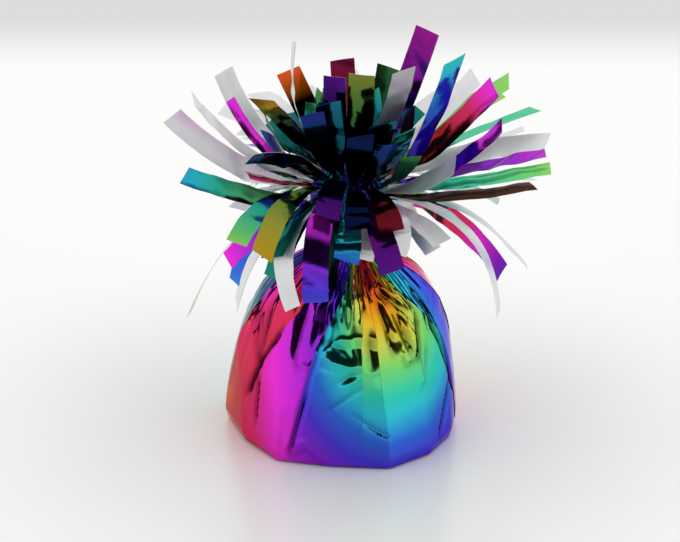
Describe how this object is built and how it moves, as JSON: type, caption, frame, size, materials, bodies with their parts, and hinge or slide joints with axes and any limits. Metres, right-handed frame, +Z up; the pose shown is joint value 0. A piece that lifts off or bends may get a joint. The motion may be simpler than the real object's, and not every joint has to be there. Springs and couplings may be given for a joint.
{
  "type": "balloon weight",
  "caption": "Ballast wrapped in metallised film that is gathered and tied at a neck, then slit into a spreading fringe of springy strips; it holds a balloon's ribbon down.",
  "frame": {"origin": "on the floor under the middle of the slug", "axes": "+Z up, -Y to the front as pictured, +X to the right"},
  "size_m": [0.1039, 0.0809, 0.112],
  "materials": {
    "slug_casting": "matte",
    "rainbow_foil": "metallised",
    "tie_strip": "metallised",
    "silver_foil": "metallised",
    "purple_foil": "metallised",
    "blue_foil": "metallised",
    "teal_foil": "metallised",
    "green_foil": "metallised",
    "lime_foil": "metallised",
    "gold_foil": "metallised",
    "orange_foil": "metallised",
    "red_foil": "metallised",
    "magenta_foil": "metallised",
    "pink_foil": "metallised",
    "dark_foil": "metallised"
  },
  "bodies": {
    "weight": {"weight_slug": "slug_casting", "foil_wrap": "rainbow_foil", "neck_bunch": "rainbow_foil", "neck_tie": "tie_strip", "grey_upper_right_strip": "silver_foil", "green_upper_right_strip": "green_foil", "lime_right_strip": "lime_foil", "teal_right_strip": "teal_foil", "grey_edge_right_strip": "silver_foil", "white_right_strip": "silver_foil", "lilac_right_strip": "pink_foil", "dark_right_strip": "dark_foil", "grey_low_right_strip": "silver_foil", "dark_red_front_strip": "red_foil", "dark_front_strip": "dark_foil", "black_front_strip": "dark_foil", "silver_front_strip": "silver_foil", "blue_front_strip": "blue_foil", "silver_neck_strip": "silver_foil", "blue_left_strip": "blue_foil", "white_low_left_strip": "silver_foil", "edge_left_strip": "silver_foil", "silver_left_strip": "silver_foil", "black_left_strip": "dark_foil", "orange_upper_left_strip": "orange_foil", "orange_top_strip": "orange_foil", "grey_top_strip": "silver_foil", "purple_top_strip": "purple_foil", "plum_top_strip": "red_foil", "lime_top_strip": "lime_foil", "green_top_strip": "green_foil", "silver_top_strip": "silver_foil", "back_inner_fringe": "rainbow_foil", "front_inner_fringe": "rainbow_foil"},
    "tall_back_strip": {"tall_back_strip": "purple_foil"},
    "blue_arch_strip": {"blue_arch_strip": "blue_foil"},
    "magenta_right_strip": {"magenta_right_strip": "magenta_foil"},
    "curled_right_strip": {"curled_right_strip": "purple_foil"},
    "green_right_strip": {"green_right_strip": "green_foil"},
    "thin_arc_strip": {"thin_arc_strip": "silver_foil"},
    "far_arc_strip": {"far_arc_strip": "silver_foil"},
    "red_arc_strip": {"red_arc_strip": "red_foil"},
    "neck_right_strip": {"neck_right_strip": "silver_foil"},
    "violet_front_strip": {"violet_front_strip": "purple_foil"},
    "gold_front_strip": {"gold_front_strip": "gold_foil"},
    "green_left_front_strip": {"green_left_front_strip": "green_foil"},
    "pink_left_strip": {"pink_left_strip": "pink_foil"},
    "needle_left_strip": {"needle_left_strip": "silver_foil"},
    "teal_left_strip": {"teal_left_strip": "teal_foil"},
    "white_left_strip": {"white_left_strip": "silver_foil"},
    "magenta_left_strip": {"magenta_left_strip": "magenta_foil"},
    "needle_top_strip": {"needle_top_strip": "silver_foil"}
  },
  "joints": [
    {"name": "tall_back_bend", "type": "hinge", "parent": "weight", "child": "tall_back_strip", "pos_m": [0.00819, 0.00387, 0.07601], "axis": [0.5299, -0.848, 0], "range_deg": [-4, 8], "stiffness_Nm_per_rad": 0.0005},
    {"name": "blue_arch_bend", "type": "hinge", "parent": "weight", "child": "blue_arch_strip", "pos_m": [0.01064, -0.00583, 0.07208], "axis": [-0.5592, -0.829, 0], "range_deg": [-4, 5], "stiffness_Nm_per_rad": 0.0005},
    {"name": "magenta_right_bend", "type": "hinge", "parent": "weight", "child": "magenta_right_strip", "pos_m": [0.01169, -0.00224, 0.07297], "axis": [-0.225, -0.9744, 0], "range_deg": [-5, 8], "stiffness_Nm_per_rad": 0.0005},
    {"name": "curled_right_bend", "type": "hinge", "parent": "weight", "child": "curled_right_strip", "pos_m": [0.00938, -0.0082, 0.07058], "axis": [-0.7431, -0.6691, 0], "range_deg": [-5, 4], "stiffness_Nm_per_rad": 0.0005},
    {"name": "green_right_bend", "type": "hinge", "parent": "weight", "child": "green_right_strip", "pos_m": [0.01328, -0.00179, 0.06901], "axis": [-0.1564, -0.9877, 0], "range_deg": [-3, 3], "stiffness_Nm_per_rad": 0.0005},
    {"name": "thin_arc_bend", "type": "hinge", "parent": "weight", "child": "thin_arc_strip", "pos_m": [0.01296, -0.00377, 0.06741], "axis": [-0.3256, -0.9455, 0], "range_deg": [-6, 3], "stiffness_Nm_per_rad": 0.0005},
    {"name": "far_arc_bend", "type": "hinge", "parent": "weight", "child": "far_arc_strip", "pos_m": [0.01357, 0.00081, 0.06741], "axis": [0.0698, -0.9976, 0], "range_deg": [-4, 6], "stiffness_Nm_per_rad": 0.0005},
    {"name": "red_arc_bend", "type": "hinge", "parent": "weight", "child": "red_arc_strip", "pos_m": [0.01293, 0.00355, 0.06539], "axis": [0.309, -0.9511, 0], "range_deg": [-6, 4], "stiffness_Nm_per_rad": 0.0005},
    {"name": "neck_right_bend", "type": "hinge", "parent": "weight", "child": "neck_right_strip", "pos_m": [0.00841, -0.0095, 0.06882], "axis": [-0.829, -0.5592, 0], "range_deg": [-4, 4], "stiffness_Nm_per_rad": 0.0005},
    {"name": "violet_front_bend", "type": "hinge", "parent": "weight", "child": "violet_front_strip", "pos_m": [-0.00145, -0.0106, 0.0702], "axis": [-0.9511, 0.309, 0], "range_deg": [-1, 12], "stiffness_Nm_per_rad": 0.0005},
    {"name": "gold_front_bend", "type": "hinge", "parent": "weight", "child": "gold_front_strip", "pos_m": [-0.0052, -0.00799, 0.07135], "axis": [-0.7431, 0.6691, 0], "range_deg": [-1, 5], "stiffness_Nm_per_rad": 0.0005},
    {"name": "green_left_front_bend", "type": "hinge", "parent": "weight", "child": "green_left_front_strip", "pos_m": [-0.00733, -0.00629, 0.06981], "axis": [-0.5592, 0.829, 0], "range_deg": [-3, 4], "stiffness_Nm_per_rad": 0.0005},
    {"name": "pink_left_bend", "type": "hinge", "parent": "weight", "child": "pink_left_strip", "pos_m": [-0.0084, -0.00463, 0.06479], "axis": [-0.4067, 0.9135, 0], "range_deg": [-5, 2], "stiffness_Nm_per_rad": 0.0005},
    {"name": "needle_left_bend", "type": "hinge", "parent": "weight", "child": "needle_left_strip", "pos_m": [-0.00948, 0.0004, 0.06539], "axis": [0.0349, 0.9994, 0], "range_deg": [-6, 6], "stiffness_Nm_per_rad": 0.0005},
    {"name": "teal_left_bend", "type": "hinge", "parent": "weight", "child": "teal_left_strip", "pos_m": [-0.00942, -0.00201, 0.067], "axis": [-0.1736, 0.9848, 0], "range_deg": [-2, 6], "stiffness_Nm_per_rad": 0.0005},
    {"name": "white_left_bend", "type": "hinge", "parent": "weight", "child": "white_left_strip", "pos_m": [-0.00937, 0.0016, 0.06861], "axis": [0.1392, 0.9903, 0], "range_deg": [-6, 4], "stiffness_Nm_per_rad": 0.0005},
    {"name": "magenta_left_bend", "type": "hinge", "parent": "weight", "child": "magenta_left_strip", "pos_m": [-0.00844, 0.00184, 0.07172], "axis": [0.1736, 0.9848, 0], "range_deg": [-4, 10], "stiffness_Nm_per_rad": 0.0005},
    {"name": "needle_top_bend", "type": "hinge", "parent": "weight", "child": "needle_top_strip", "pos_m": [-0.00524, 0.0018, 0.07589], "axis": [0.2419, 0.9703, 0], "range_deg": [-8, 8], "stiffness_Nm_per_rad": 0.0005}
  ]
}
